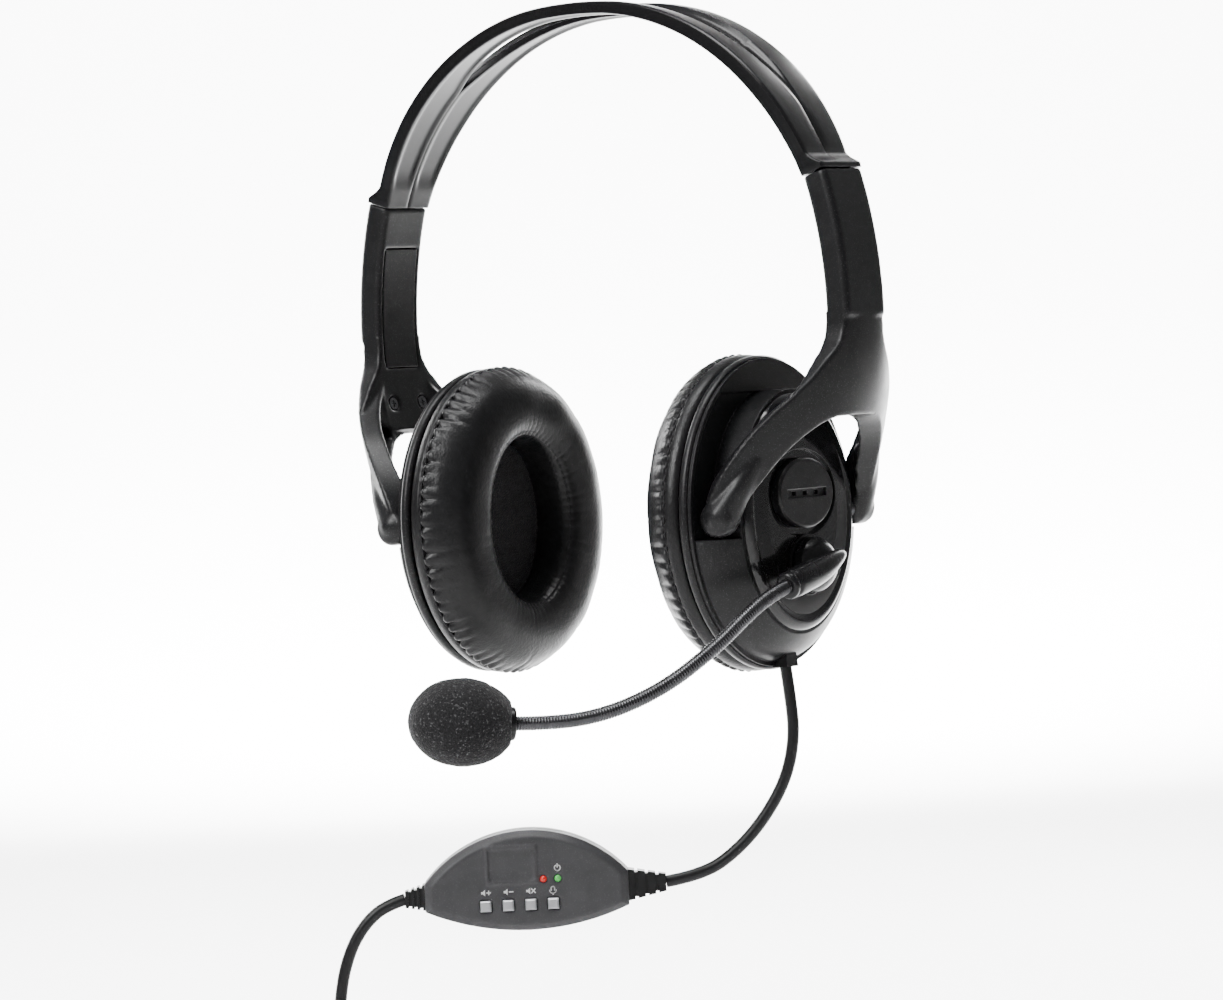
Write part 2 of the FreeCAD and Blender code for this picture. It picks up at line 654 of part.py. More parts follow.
# ---- cable, controller and plug ----
CABLE_ROUTE = [(0.0, GLAND_BOTTOM), (1.0, -54.5), (1.6, -65.5), (-1.2, -77.5), (-7.8, -88.6),
               (-16.4, -98.0), (-26.8, -104.8), (-38.0, -106.3)]
LEAD_ROUTE = [(-114.4, -107.6), (-120.0, -109.2), (-125.3, -113.0), (-129.8, -119.0),
              (-132.9, -126.4), (-134.8, -135.0), (-135.5, -145.0), (-135.6, -155.5)]


def cable_gland():
    """Rectangular strain relief below the microphone cup."""
    sections = []
    for z, half_x, half_y in ((-38.0, 1.9, 1.9), (-41.5, 2.3, 2.5), (GLAND_BOTTOM, 2.6, 2.9)):
        corners = [Vec(GLAND_X - half_x, -half_y, z), Vec(GLAND_X + half_x, -half_y, z),
                   Vec(GLAND_X + half_x, half_y, z), Vec(GLAND_X - half_x, half_y, z)]
        sections.append(Part.makePolygon(corners + corners[:1]))
    return Part.makeLoft(sections, True, True)


def remote_outline(inset):
    """Boat-shaped outline of the controller in its XZ plane, shrunk by an inset."""
    left = -29.5 + inset
    right = 30.0 - inset
    top = [Vec(left, 0, 0.4 - inset), Vec(0, 0, 14.8 - inset), Vec(right, 0, 1.6 - inset)]
    low = [Vec(left, 0, -7.8 + inset), Vec(3, 0, -14.4 + inset), Vec(right, 0, -8.4 + inset)]
    return [arc_edge(*top), arc_edge(*low), line_edge(top[0], low[0]), line_edge(top[2], low[2])]


def remote_half(front):
    """One half of the controller's shell, parted at its middle plane."""
    solid = slab_y(remote_outline(0), REMOTE_HALF_THICK)
    faces = [e for e in solid.Edges if abs(abs(e.BoundBox.Center.y) - REMOTE_HALF_THICK) < 0.1]
    solid = solid.makeChamfer(2.0, faces)
    solid = solid.cut(slab_y(remote_outline(1.8), REMOTE_HALF_THICK - 1.8))
    for x, z, size in ((30, -2.9, 3.2), (-29.5, -3.7, 2.8)):
        solid = solid.cut(box(x - 4, x + 4, -size, size, z - size, z + size))
    if front:
        half = solid.common(box(-50, 50, -20, -0.05, -30, 30))
        frame = box(-11.4, 3.6, -8.0, -7.4, -0.4, 10.6).cut(box(-10.6, 2.8, -9, -7, 0.4, 9.8))
        half = half.fuse(frame)
        for x in button_places():
            half = half.cut(box(x - 1.75, x + 1.75, -9, -4, BUTTON_Z - 1.75, BUTTON_Z + 1.75))
        for x in LIGHT_PLACES:
            half = half.cut(rod((x, -9, 0.5), (0, 1, 0), 1.05, 6))
        return half
    half = solid.common(box(-50, 50, 0.05, 20, -30, 30))
    for x, z in REMOTE_SCREWS:
        half = half.cut(rod((x, 8, z), (0, -1, 0), 1.5, 1.2)).cut(rod((x, 8, z), (0, -1, 0), 0.9, 5))
    return half


LIGHT_PLACES = (5.3, 9.5)
REMOTE_SCREWS = ((-17.5, -2.0), (17.5, -2.0))


def button_places():
    return [-11.8 + BUTTON_PITCH * count for count in range(4)]


def relief(length, tall, short, depth, drop):
    """Tapered ribbed strain relief that leaves towards +X from its flat root."""
    def square(x, half, z):
        corners = [Vec(x, -depth * half / tall, z - half), Vec(x, depth * half / tall, z - half),
                   Vec(x, depth * half / tall, z + half), Vec(x, -depth * half / tall, z + half)]
        return Part.makePolygon(corners + corners[:1])
    body = Part.makeLoft([square(0, tall, 0), square(length, short, drop)], True, True)
    ribs = 3
    for count in range(ribs):
        x = length * (count + 0.75) / (ribs + 0.6)
        half = tall + (short - tall) * x / length
        z = drop * x / length
        groove = box(x - 0.45, x + 0.45, -10, 10, z - 10, z + 10)
        inner = box(x - 1, x + 1, -depth * half / tall + 0.6, depth * half / tall - 0.6,
                    z - half + 0.6, z + half - 0.6)
        body = body.cut(groove.cut(inner))
    root = box(-2.6, 0.0, -2.4, 2.4, -2.4, 2.4)
    return body.fuse(root)


def make_remote():
    save("remote_front", place_in_plane(remote_half(True), REMOTE_S, REMOTE_Z))
    save("remote_back", place_in_plane(remote_half(False), REMOTE_S, REMOTE_Z))
    board = box(-19, 19, -1.6, -0.4, -8.6, 4.0)
    for x, z in REMOTE_SCREWS:
        board = board.cut(rod((x, -5, z), (0, 1, 0), 1.4, 10))
    save("remote_board", place_in_plane(board, REMOTE_S, REMOTE_Z))
    switches = [box(x - 1.5, x + 1.5, -3.6, -1.6, BUTTON_Z - 1.5, BUTTON_Z + 1.5)
                for x in button_places()]
    save("remote_switches", place_in_plane(Part.makeCompound(switches), REMOTE_S, REMOTE_Z))
    names = ("volume_up", "volume_down", "speaker_mute", "mic_mute")
    for name, x in zip(names, button_places()):
        key = box(x - 1.6, x + 1.6, -8.5, -4.6, BUTTON_Z - 1.6, BUTTON_Z + 1.6)
        key = key.makeChamfer(0.5, [e for e in key.Edges if e.BoundBox.YMax < -8.4])
        save("button_" + name, place_in_plane(key, REMOTE_S, REMOTE_Z))
    for name, x in zip(("mic_light", "power_light"), LIGHT_PLACES):
        lens = rod((x, -1.65, 0.5), (0, -1, 0), 1.0, 5.6).fuse(Part.makeSphere(1.0, Vec(x, -7.25, 0.5)))
        save(name, place_in_plane(lens, REMOTE_S, REMOTE_Z))
    cable_side = relief(11.0, 4.6, 2.5, 3.6, 0.1)
    cable_side.translate(Vec(30.0, 0, -2.9))
    lead_side = relief(5.9, 3.8, 2.4, 3.4, -0.4)
    lead_side.rotate(Vec(0, 0, 0), Vec(0, 0, 1), 180)
    lead_side.translate(Vec(-29.5, 0, -3.7))
    reliefs = Part.makeCompound([cable_side, lead_side])
    save("remote_reliefs", place_in_plane(reliefs, REMOTE_S, REMOTE_Z))
    screws = []
    for x, z in REMOTE_SCREWS:
        head = rod((x, 7.4, z), (0, -1, 0), 1.4, 0.55).fuse(rod((x, 6.9, z), (0, -1, 0), 0.8, 3.6))
        screws.append(head.cut(box(x - 0.9, x + 0.9, 7.1, 8, z - 0.2, z + 0.2)))
    save("remote_screws", place_in_plane(Part.makeCompound(screws), REMOTE_S, REMOTE_Z))


def racetrack(radius, straight, half_thick):
    """Upright stadium-shaped slab about its own centre, flat faces to +-Y."""
    half = straight / 2
    ends = [Vec(-radius, 0, half), Vec(0, 0, half + radius), Vec(radius, 0, half),
            Vec(radius, 0, -half), Vec(0, 0, -half - radius), Vec(-radius, 0, -half)]
    edges = [arc_edge(*ends[:3]), line_edge(ends[2], ends[3]), arc_edge(*ends[3:]),
             line_edge(ends[5], ends[0])]
    return slab_y(edges, half_thick)


def make_cable():
    save("cable_gland", cable_gland())
    save("headset_cable", tube([in_plane(*p) for p in CABLE_ROUTE], CORD_D, "headset_cable"))
    save("usb_lead", tube([in_plane(*p) for p in LEAD_ROUTE], CORD_D, "usb_lead"))
    outer = HANK_INNER_R + (HANK_LAYERS - 0.5) * HANK_PITCH
    inner = HANK_INNER_R - 0.5 * HANK_PITCH
    half_thick = HANK_SLOTS * HANK_PITCH / 2
    hank = racetrack(outer, HANK_STRAIGHT, half_thick)
    hank = hank.cut(racetrack(inner, HANK_STRAIGHT, half_thick + 1))
    save("usb_hank", place_in_plane(hank, HANK_S, HANK_Z))
    around = box(-outer - 1.5, outer + 1.5, -half_thick - 1.4, half_thick + 1.4, -6, 6)
    inside = box(-outer - GAP, outer + GAP, -half_thick - GAP, half_thick + GAP, -7, 7)
    save("hank_tie", place_in_plane(around.cut(inside), HANK_S, HANK_Z))
    tail = [(12.0, -5.55, 8.6), (12.1, -7.2, 16.0), (8.2, -9.4, 22.4), (1.2, -11.3, 25.0),
            (-5.8, -12.9, 22.4), (-9.6, -13.9, 16.0), (-9.6, -14.1, 9.0)]
    local = tube(tail, CORD_D, "usb_tail")
    save("usb_tail", place_in_plane(local, HANK_S, HANK_Z))
    make_plug(-9.6, -14.1, 9.0)


def make_plug(x, y, z):
    """USB-A plug that hangs down from the lead's end, over the hank's face."""
    sleeve = Part.makeCone(2.4, 3.2, 7.0, Vec(x, y, z), Vec(0, 0, -1))
    grip = box(x - 7.5, x + 7.5, y - 3.9, y + 3.9, z - 27, z - 6.9)
    grip = rounded(grip, 1.5, lambda e: e.BoundBox.ZLength > 10)
    grip = grip.fuse(sleeve)
    shell = box(x - 6.0, x + 6.0, y - 2.25, y + 2.25, z - 39.0, z - 25)
    shell = shell.cut(box(x - 5.7, x + 5.7, y - 1.95, y + 1.95, z - 40, z - 27.3))
    for side in (-2.7, 2.7):
        shell = shell.cut(box(x + side - 1.1, x + side + 1.1, y - 3, y - 1.0, z - 34, z - 32))
    inner = box(x - 5.6, x + 5.6, y - 0.0, y + 1.85, z - 38.0, z - 27.35)
    grip = grip.cut(box(x - 6.0, x + 6.0, y - 2.25, y + 2.25, z - 28, z - 25))
    save("plug_grip", place_in_plane(grip, HANK_S, HANK_Z))
    save("plug_shell", place_in_plane(shell, HANK_S, HANK_Z))
    save("plug_tongue", place_in_plane(inner, HANK_S, HANK_Z))


os.makedirs("parts", exist_ok=True)
save("headband", headband())
save_pair("size_tongue", tongue())
save_pair("yoke", yoke())
save_pair("yoke_cover", yoke_cover())
save_pair("yoke_screws", yoke_screws())
make_cups()
make_boom()
make_remote()
make_cable()
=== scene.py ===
import json
import math

import bmesh
import bpy
from mathutils import Matrix, Vector, noise


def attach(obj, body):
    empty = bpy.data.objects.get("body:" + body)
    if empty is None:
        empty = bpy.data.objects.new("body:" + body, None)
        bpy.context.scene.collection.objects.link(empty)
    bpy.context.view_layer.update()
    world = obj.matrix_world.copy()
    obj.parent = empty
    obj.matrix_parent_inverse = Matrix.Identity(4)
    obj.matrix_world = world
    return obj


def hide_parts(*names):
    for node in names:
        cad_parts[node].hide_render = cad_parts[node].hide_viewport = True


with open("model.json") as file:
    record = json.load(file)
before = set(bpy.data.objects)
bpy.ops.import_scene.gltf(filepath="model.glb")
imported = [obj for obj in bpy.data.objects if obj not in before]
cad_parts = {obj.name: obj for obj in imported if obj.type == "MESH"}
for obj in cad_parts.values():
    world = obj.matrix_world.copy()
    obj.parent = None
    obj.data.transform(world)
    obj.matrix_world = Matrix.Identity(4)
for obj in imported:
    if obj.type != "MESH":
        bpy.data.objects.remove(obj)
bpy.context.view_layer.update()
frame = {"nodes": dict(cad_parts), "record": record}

MM = 0.001
SIDES = (("right", 1), ("left", -1))

# ---- camera ----
AZIMUTH = math.radians(37.0)
ELEVATION = math.radians(1.5)
ROLL = math.radians(2.9)
DISTANCE = 1.5                   # metres
LENS = 147.9                     # millimetres, on a 36 mm sensor
AIM_ACROSS = -0.0036
AIM_HEIGHT = 0.00507


def make_camera():
    """Camera at the photograph's viewing angle, rolled a little."""
    right = Vector((math.cos(AZIMUTH), math.sin(AZIMUTH), 0))
    back = Vector((math.sin(AZIMUTH) * math.cos(ELEVATION),
                   -math.cos(AZIMUTH) * math.cos(ELEVATION), math.sin(ELEVATION)))
    up = back.cross(right)
    target = AIM_ACROSS * right + Vector((0, 0, AIM_HEIGHT))
    x_axis = math.cos(ROLL) * right - math.sin(ROLL) * up
    y_axis = math.sin(ROLL) * right + math.cos(ROLL) * up
    data = bpy.data.cameras.new("camera")
    data.lens = LENS
    data.sensor_width = 36.0
    data.dof.use_dof = False
    data.clip_start = 0.05
    data.clip_end = 30.0
    cam = bpy.data.objects.new("camera", data)
    bpy.context.scene.collection.objects.link(cam)
    turn = Matrix((x_axis, y_axis, back)).transposed().to_4x4()
    cam.matrix_world = Matrix.Translation(target + DISTANCE * back) @ turn
    bpy.context.scene.camera = cam


# ---- small helpers ----
def link(obj):
    bpy.context.scene.collection.objects.link(obj)
    return obj


def mesh_object(name, points, faces, smooth=True):
    """Object from points in millimetres."""
    mesh = bpy.data.meshes.new(name)
    mesh.from_pydata([Vector(p) * MM for p in points], [], faces)
    mesh.update()
    if smooth:
        mesh.shade_smooth()
    return link(bpy.data.objects.new(name, mesh))


def grid_faces(rows, columns, closed_rows=False, closed_columns=True):
    """Quads between points stored row by row."""
    faces = []
    for i in range(rows if closed_rows else rows - 1):
        for j in range(columns if closed_columns else columns - 1):
            a = i * columns + j
            b = i * columns + (j + 1) % columns
            c = ((i + 1) % rows) * columns + (j + 1) % columns
            d = ((i + 1) % rows) * columns + j
            faces.append((a, b, c, d))
    return faces


def fix_normals(obj):
    work = bmesh.new()
    work.from_mesh(obj.data)
    bmesh.ops.recalc_face_normals(work, faces=work.faces)
    work.to_mesh(obj.data)
    work.free()


def finish_piece(obj, material, slot, body, *replaced):
    obj.data.materials.clear()
    obj.data.materials.append(material)
    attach(obj, body)
    if replaced:
        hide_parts(*replaced)
    return obj


def mirrored(points, sign):
    return [(sign * x, y, z) for x, y, z in points]


def catmull(points, count, closed=False):
    """Smooth interpolation through points of any dimension, evenly spread over its spans."""
    n = len(points)
    spans = n if closed else n - 1
    result = []
    for k in range(count):
        t = k * spans / (count if closed else count - 1)
        i = min(int(t), spans - 1)
        u = t - i
        near = []
        for offset in (-1, 0, 1, 2):
            index = (i + offset) % n if closed else min(max(i + offset, 0), n - 1)
            near.append(points[index])
        weights = (-0.5 * u + u * u - 0.5 * u ** 3, 1 - 2.5 * u * u + 1.5 * u ** 3,
                   0.5 * u + 2 * u * u - 1.5 * u ** 3, -0.5 * u * u + 0.5 * u ** 3)
        result.append(tuple(sum(w * p[axis] for w, p in zip(weights, near))
                            for axis in range(len(points[0]))))
    return result


def smoothstep(low, high, value):
    t = min(max((value - low) / (high - low), 0.0), 1.0)
    return t * t * (3 - 2 * t)


# ---- materials ----
def surface(name, color, roughness, metallic=0.0, grain=None, speckle=None, mottle=(90, 0.12),
            coat=0.0, bevel=0.0, sheen=0.0, pores=None, emission=None):
    """Procedural material.

    grain and pores are (size in metres, strength); speckle is (size, amount) of paler flecks.
    """
    mat = bpy.data.materials.new(name)
    mat.use_nodes = True
    nodes = mat.node_tree.nodes
    links = mat.node_tree.links
    bsdf = nodes["Principled BSDF"]
    coords = nodes.new("ShaderNodeTexCoord").outputs["Object"]
    flat = (color[0], color[1], color[2], 1)
    bsdf.inputs["Base Color"].default_value = flat
    bsdf.inputs["Metallic"].default_value = metallic
    bsdf.inputs["Roughness"].default_value = roughness
    bsdf.inputs["Coat Weight"].default_value = coat
    bsdf.inputs["Coat Roughness"].default_value = 0.12
    bsdf.inputs["Specular IOR Level"].default_value = 0.42
    bsdf.inputs["Sheen Weight"].default_value = sheen
    if emission:
        bsdf.inputs["Emission Color"].default_value = flat
        bsdf.inputs["Emission Strength"].default_value = emission

    def noise_at(scale, detail=3.0, rough=0.55):
        tex = nodes.new("ShaderNodeTexNoise")
        tex.inputs["Scale"].default_value = scale
        tex.inputs["Detail"].default_value = detail
        tex.inputs["Roughness"].default_value = rough
        links.new(coords, tex.inputs["Vector"])
        return tex.outputs["Fac"]

    def ramp(value, low, high, out_low, out_high):
        node = nodes.new("ShaderNodeMapRange")
        node.inputs["From Min"].default_value = low
        node.inputs["From Max"].default_value = high
        node.inputs["To Min"].default_value = out_low
        node.inputs["To Max"].default_value = out_high
        links.new(value, node.inputs["Value"])
        return node.outputs["Result"]

    def mix(factor, a, b):
        node = nodes.new("ShaderNodeMix")
        node.data_type = "RGBA"
        links.new(factor, node.inputs["Factor"])
        for socket, value in ((node.inputs["A"], a), (node.inputs["B"], b)):
            if isinstance(value, tuple):
                socket.default_value = value
            else:
                links.new(value, socket)
        return node.outputs["Result"]

    scale, amount = mottle
    dark = tuple(c * (1 - amount) for c in color) + (1,)
    light = tuple(c * (1 + amount) for c in color) + (1,)
    tint = mix(ramp(noise_at(scale), 0.3, 0.7, 0, 1), dark, light)
    if speckle:
        size, amount = speckle
        fleck = ramp(noise_at(1 / size, 1.0), 0.60, 0.72, 0, amount)
        tint = mix(fleck, tint, (0.32, 0.32, 0.33, 1))
    links.new(tint, bsdf.inputs["Base Color"])
    links.new(ramp(noise_at(scale * 2.3), 0.25, 0.75, roughness * 0.88, min(1, roughness * 1.12)),
              bsdf.inputs["Roughness"])
    normal = None
    if bevel:
        node = nodes.new("ShaderNodeBevel")
        node.samples = 6
        node.inputs["Radius"].default_value = bevel
        normal = node.outputs["Normal"]
    for kind, setting in (("noise", grain), ("cells", pores)):
        if not setting:
            continue
        size, strength = setting
        bump = nodes.new("ShaderNodeBump")
        bump.inputs["Strength"].default_value = strength
        bump.inputs["Distance"].default_value = size * 0.5
        if kind == "noise":
            height = noise_at(1 / size, 2.0)
        else:
            tex = nodes.new("ShaderNodeTexVoronoi")
            tex.inputs["Scale"].default_value = 1 / size
            links.new(coords, tex.inputs["Vector"])
            height = tex.outputs["Distance"]
        links.new(height, bump.inputs["Height"])
        if normal:
            links.new(normal, bump.inputs["Normal"])
        normal = bump.outputs["Normal"]
    if normal:
        links.new(normal, bsdf.inputs["Normal"])
    return mat


BLACK = (0.008, 0.008, 0.009)     # linear colour of the headband
LOOKS = {
    "band_plastic": surface("band_plastic", BLACK, 0.22, grain=(0.002, 0.01), bevel=0.0004),
    "strip_plastic": surface("strip_plastic", (0.02, 0.02, 0.022), 0.42, grain=(0.0003, 0.15)),
    "shell_plastic": surface("shell_plastic", (0.009, 0.009, 0.010), 0.33, grain=(0.00028, 0.2),
                             speckle=(0.0004, 0.10), bevel=0.0005),
    "gloss_plastic": surface("gloss_plastic", (0.009, 0.009, 0.010), 0.13, grain=(0.003, 0.02),
                             coat=0.6, bevel=0.0004),
    "dark_steel": surface("dark_steel", (0.16, 0.16, 0.17), 0.34, metallic=1.0,
                          grain=(0.0002, 0.1), bevel=0.0002),
    "boom_plastic": surface("boom_plastic", (0.009, 0.009, 0.010), 0.26, grain=(0.0003, 0.12),
                            bevel=0.0004),
    "boom_steel": surface("boom_steel", (0.10, 0.10, 0.105), 0.27, metallic=0.9, grain=(0.0004, 0.05)),
    "foam": surface("foam", (0.012, 0.012, 0.013), 0.95, grain=(0.00035, 1.0), pores=(0.0006, 0.8),
                    mottle=(1900, 0.6), speckle=(0.0007, 0.30), sheen=0.08),
    "leatherette": surface("leatherette", (0.010, 0.010, 0.011), 0.33, grain=(0.0011, 0.2),
                           pores=(0.00055, 0.16), mottle=(160, 0.2)),
    "speaker_cloth": surface("speaker_cloth", (0.006, 0.006, 0.007), 0.95, pores=(0.0005, 0.8),
                             mottle=(1900, 0.45), sheen=0.1),
    "driver_plastic": surface("driver_plastic", (0.05, 0.05, 0.055), 0.5, grain=(0.0004, 0.15)),
    "cord_vinyl": surface("cord_vinyl", (0.009, 0.009, 0.010), 0.36, grain=(0.0006, 0.06),
                          mottle=(200, 0.2)),
    "remote_plastic": surface("remote_plastic", (0.062, 0.062, 0.066), 0.42,
                              grain=(0.00028, 0.25), speckle=(0.0004, 0.08), bevel=0.0006),
    "key_silver": surface("key_silver", (0.62, 0.63, 0.65), 0.32, metallic=0.6,
                          grain=(0.0002, 0.1), bevel=0.0003),
    "red_lens": surface("red_lens", (0.75, 0.03, 0.02), 0.2, coat=0.5, emission=0.15),
    "green_lens": surface("green_lens", (0.10, 0.65, 0.12), 0.2, coat=0.5, emission=0.15),
    "circuit": surface("circuit", (0.02, 0.16, 0.07), 0.4, grain=(0.0006, 0.1)),
    "switch_plastic": surface("switch_plastic", (0.06, 0.06, 0.065), 0.45, grain=(0.0003, 0.1)),
    "plug_steel": surface("plug_steel", (0.6, 0.6, 0.62), 0.25, metallic=1.0,
                          grain=(0.0003, 0.05), bevel=0.0002),
    "plug_insert": surface("plug_insert", (0.8, 0.81, 0.83), 0.4, grain=(0.0003, 0.05)),
}
LOOKS["icon_white"] = surface("icon_white", (0.8, 0.8, 0.8), 0.45, grain=(0.0002, 0.05))
LOOKS["thread"] = surface("thread", (0.015, 0.015, 0.016), 0.7, grain=(0.0002, 0.5))

# every CAD piece takes the look of its slot
for entry in frame["record"]["subparts"]:
    node = frame["nodes"][entry["node"]]
    node.data.materials.clear()
    node.data.materials.append(LOOKS[entry["material_slot"]])

# ---- cords ----
PLANE_ANGLE = math.radians(37.0)
GLAND_X = 56.0
CORD_D = 3.6
HANK_S = -116.7
HANK_Z = -177.5
HANK_STRAIGHT = 28.0
HANK_PITCH = 3.7
HANK_LAYERS = 3
HANK_SLOTS = 4
HANK_INNER_R = 11.5
TURN_ENDS = 7.0                  # where each straight run's control points lie, either side
CABLE_ROUTE = [(0.0, -45.2), (1.0, -54.5), (1.6, -65.5), (-1.2, -77.5), (-7.8, -88.6),
               (-16.4, -98.0), (-26.8, -104.8), (-38.0, -106.3)]
LEAD_ROUTE = [(-114.4, -107.6), (-120.0, -109.2), (-125.3, -113.0), (-129.8, -119.0),
              (-132.9, -126.4), (-134.8, -135.0), (-135.5, -145.0), (-135.6, -155.5)]
TAIL_ROUTE = [(12.0, -5.55, 8.6), (12.1, -7.2, 16.0), (8.2, -9.4, 22.4), (1.2, -11.3, 25.0),
              (-5.8, -12.9, 22.4), (-9.6, -13.9, 16.0), (-9.6, -14.1, 9.0)]


def in_plane(s, z):
    """Point of the cords' upright plane, in millimetres; s runs along it from the gland."""
    return Vector((GLAND_X + s * math.cos(PLANE_ANGLE), s * math.sin(PLANE_ANGLE), z))


def from_centre(x, y, z, s=HANK_S, height=HANK_Z):
    """Point drawn about a centre in that plane, -Y towards the viewer."""
    across = Vector((math.cos(PLANE_ANGLE), math.sin(PLANE_ANGLE), 0))
    inward = Vector((-math.sin(PLANE_ANGLE), math.cos(PLANE_ANGLE), 0))
    return in_plane(s, height + z) + across * x + inward * y


def hank_turns():
    """Control points of the wound turns, from the lead's side of the outer layer inwards."""
    points = []
    low = -HANK_STRAIGHT / 2
    for turn in range(HANK_LAYERS * HANK_SLOTS):
        layer, step = divmod(turn, HANK_SLOTS)
        if layer % 2:
            step = HANK_SLOTS - 1 - step
        radius = HANK_INNER_R + (HANK_LAYERS - 1 - layer) * HANK_PITCH
        y = ((HANK_SLOTS - 1) / 2 - step) * HANK_PITCH
        corner = radius / math.cos(math.radians(22.5))
        points += [(-radius, y, TURN_ENDS), (-radius, y, -TURN_ENDS)]
        for count in range(4):
            a = math.radians(202.5 + 45 * count)
            points.append((corner * math.cos(a), y, low + corner * math.sin(a)))
        points.append((radius, y, -TURN_ENDS))
        if turn == HANK_LAYERS * HANK_SLOTS - 1:
            break
        points.append((radius, y, TURN_ENDS))
        for count in range(4):
            a = math.radians(22.5 + 45 * count)
            points.append((corner * math.cos(a), y, -low + corner * math.sin(a)))
    return points


def cord_curve(name, points):
    """Round cord along one smooth spline, with the points as its control points."""
    data = bpy.data.curves.new(name, "CURVE")
    data.dimensions = "3D"
    data.resolution_u = 8
    data.bevel_depth = CORD_D / 2 * MM
    data.bevel_resolution = 5
    data.use_fill_caps = True
    spline = data.splines.new("NURBS")
    spline.points.add(len(points) - 1)
    for slot, point in zip(spline.points, points):
        slot.co = (point[0] * MM, point[1] * MM, point[2] * MM, 1)
    spline.order_u = 3
    spline.use_endpoint_u = True
    return link(bpy.data.objects.new(name, data))


def make_cords(shells):
    """The cable to the controller, and the USB cord with its wound hank."""
    cable = cord_curve("headset_cord", [in_plane(*p) for p in CABLE_ROUTE])
    finish_piece(cable, LOOKS["cord_vinyl"], "cord_vinyl", "cup_right", "headset_cable")
    lead_points = [in_plane(*p) for p in LEAD_ROUTE[:-1]]
    lead_points += [from_centre(*p) for p in hank_turns()]
    lead_points += [from_centre(*p) for p in TAIL_ROUTE]
    lead = cord_curve("usb_cord", lead_points)
    finish_piece(lead, LOOKS["cord_vinyl"], "cord_vinyl", "cup_right",
                 "usb_lead", "usb_hank", "usb_tail")


# ---- ear cushions ----
CUSHION_PROFILE = [(0.00, 48.6), (-0.01, 45.5), (0.00, 41.5), (0.03, 37.6), (0.07, 35.6),
                   (0.095, 35.3), (0.14, 34.3), (0.24, 33.4), (0.40, 33.05), (0.56, 33.35),
                   (0.70, 34.4), (0.82, 36.4), (0.91, 39.2), (0.965, 42.0), (0.992, 44.0),
                   (0.978, 45.0), (0.992, 46.0), (0.985, 47.6), (0.955, 48.9), (0.88, 49.5),
                   (0.60, 49.5), (0.25, 49.5), (0.05, 49.4)]
OUTER_SEAM = 15
INNER_SEAM = 5
CUSHION_AROUND = 864
BITES = 72                       # stitches round the outer seam
HOLE_Y, HOLE_Z = 17.4, 24.0      # half-sizes of the ear opening, where the profile is 0
EDGE_Y, EDGE_Z = 41.75, 46.55    # half-sizes of the outer edge, where the profile is 1
BACK_X = 49.2                    # the flat back beyond this stays plain


def bite_depth(phi):
    """How hard the seam's stitches pull at an angle, and how far the pleat runs."""
    turn = phi * BITES / (2 * math.pi)
    bite = round(turn)
    own = noise.noise(Vector((math.cos(bite * 2 * math.pi / BITES) * 9,
                              math.sin(bite * 2 * math.pi / BITES) * 9, 4.2)))
    more = noise.noise(Vector((bite % BITES * 1.37, 2.3, 7.7)))
    shift = 0.22 * more
    away = abs(turn - bite - shift)
    sharp = max(0.0, 1 - away / 0.44)
    pull = min(1.3, max(0.55, 0.88 + 0.45 * own + 0.35 * more))
    return pull * sharp ** 1.5, 5.6 + 2.6 * max(-0.8, min(1.0, own + more))


def cushion_points():
    """Oval ring of padded leather, pleated beside its two seams."""
    per_span = 4
    profile = catmull(CUSHION_PROFILE, len(CUSHION_PROFILE) * per_span, closed=True)
    rows = []
    for i in range(CUSHION_AROUND):
        phi = 2 * math.pi * i / CUSHION_AROUND
        c, s = math.cos(phi), math.sin(phi)
        ridge, reach = bite_depth(phi)
        inner_ridge, inner_reach = bite_depth(phi + 0.05)
        for j, (r, x) in enumerate(profile):
            y = (HOLE_Y + (EDGE_Y - HOLE_Y) * r) * c
            z = (HOLE_Z + (EDGE_Z - HOLE_Z) * r) * s
            to_outer = (j / per_span - OUTER_SEAM) * 2.9
            to_inner = (j / per_span - INNER_SEAM) * 2.3
            puff = 1 - ridge
            if to_outer < 0:
                depth = 1.15 * ridge * math.exp(-(to_outer / reach) ** 2)
                depth -= 0.30 * puff * math.exp(-((to_outer + 3.2) / 3.0) ** 2)
            else:
                depth = 0.85 * ridge * math.exp(-to_outer / 0.5)
            depth += 0.12 * inner_ridge * math.exp(-(to_inner / (0.8 * inner_reach)) ** 2)
            wave = noise.noise(Vector((y * 0.085, z * 0.085, x * 0.085)))
            swell = 0.35 * wave * smoothstep(0.1, 0.4, r) * (1 - smoothstep(0.9, 0.97, r))
            j0, j1 = profile[j - 1], profile[(j + 1) % len(profile)]
            dr, dx = (j1[0] - j0[0]) * 23.5, j1[1] - j0[1]
            length = math.hypot(dr, dx) or 1
            out_r, out_x = dx / length, -dr / length
            push = 0.0 if x > BACK_X else swell - depth
            rows.append((x + push * out_x, y + push * out_r * c, z + push * out_r * s))
    return rows, len(profile)


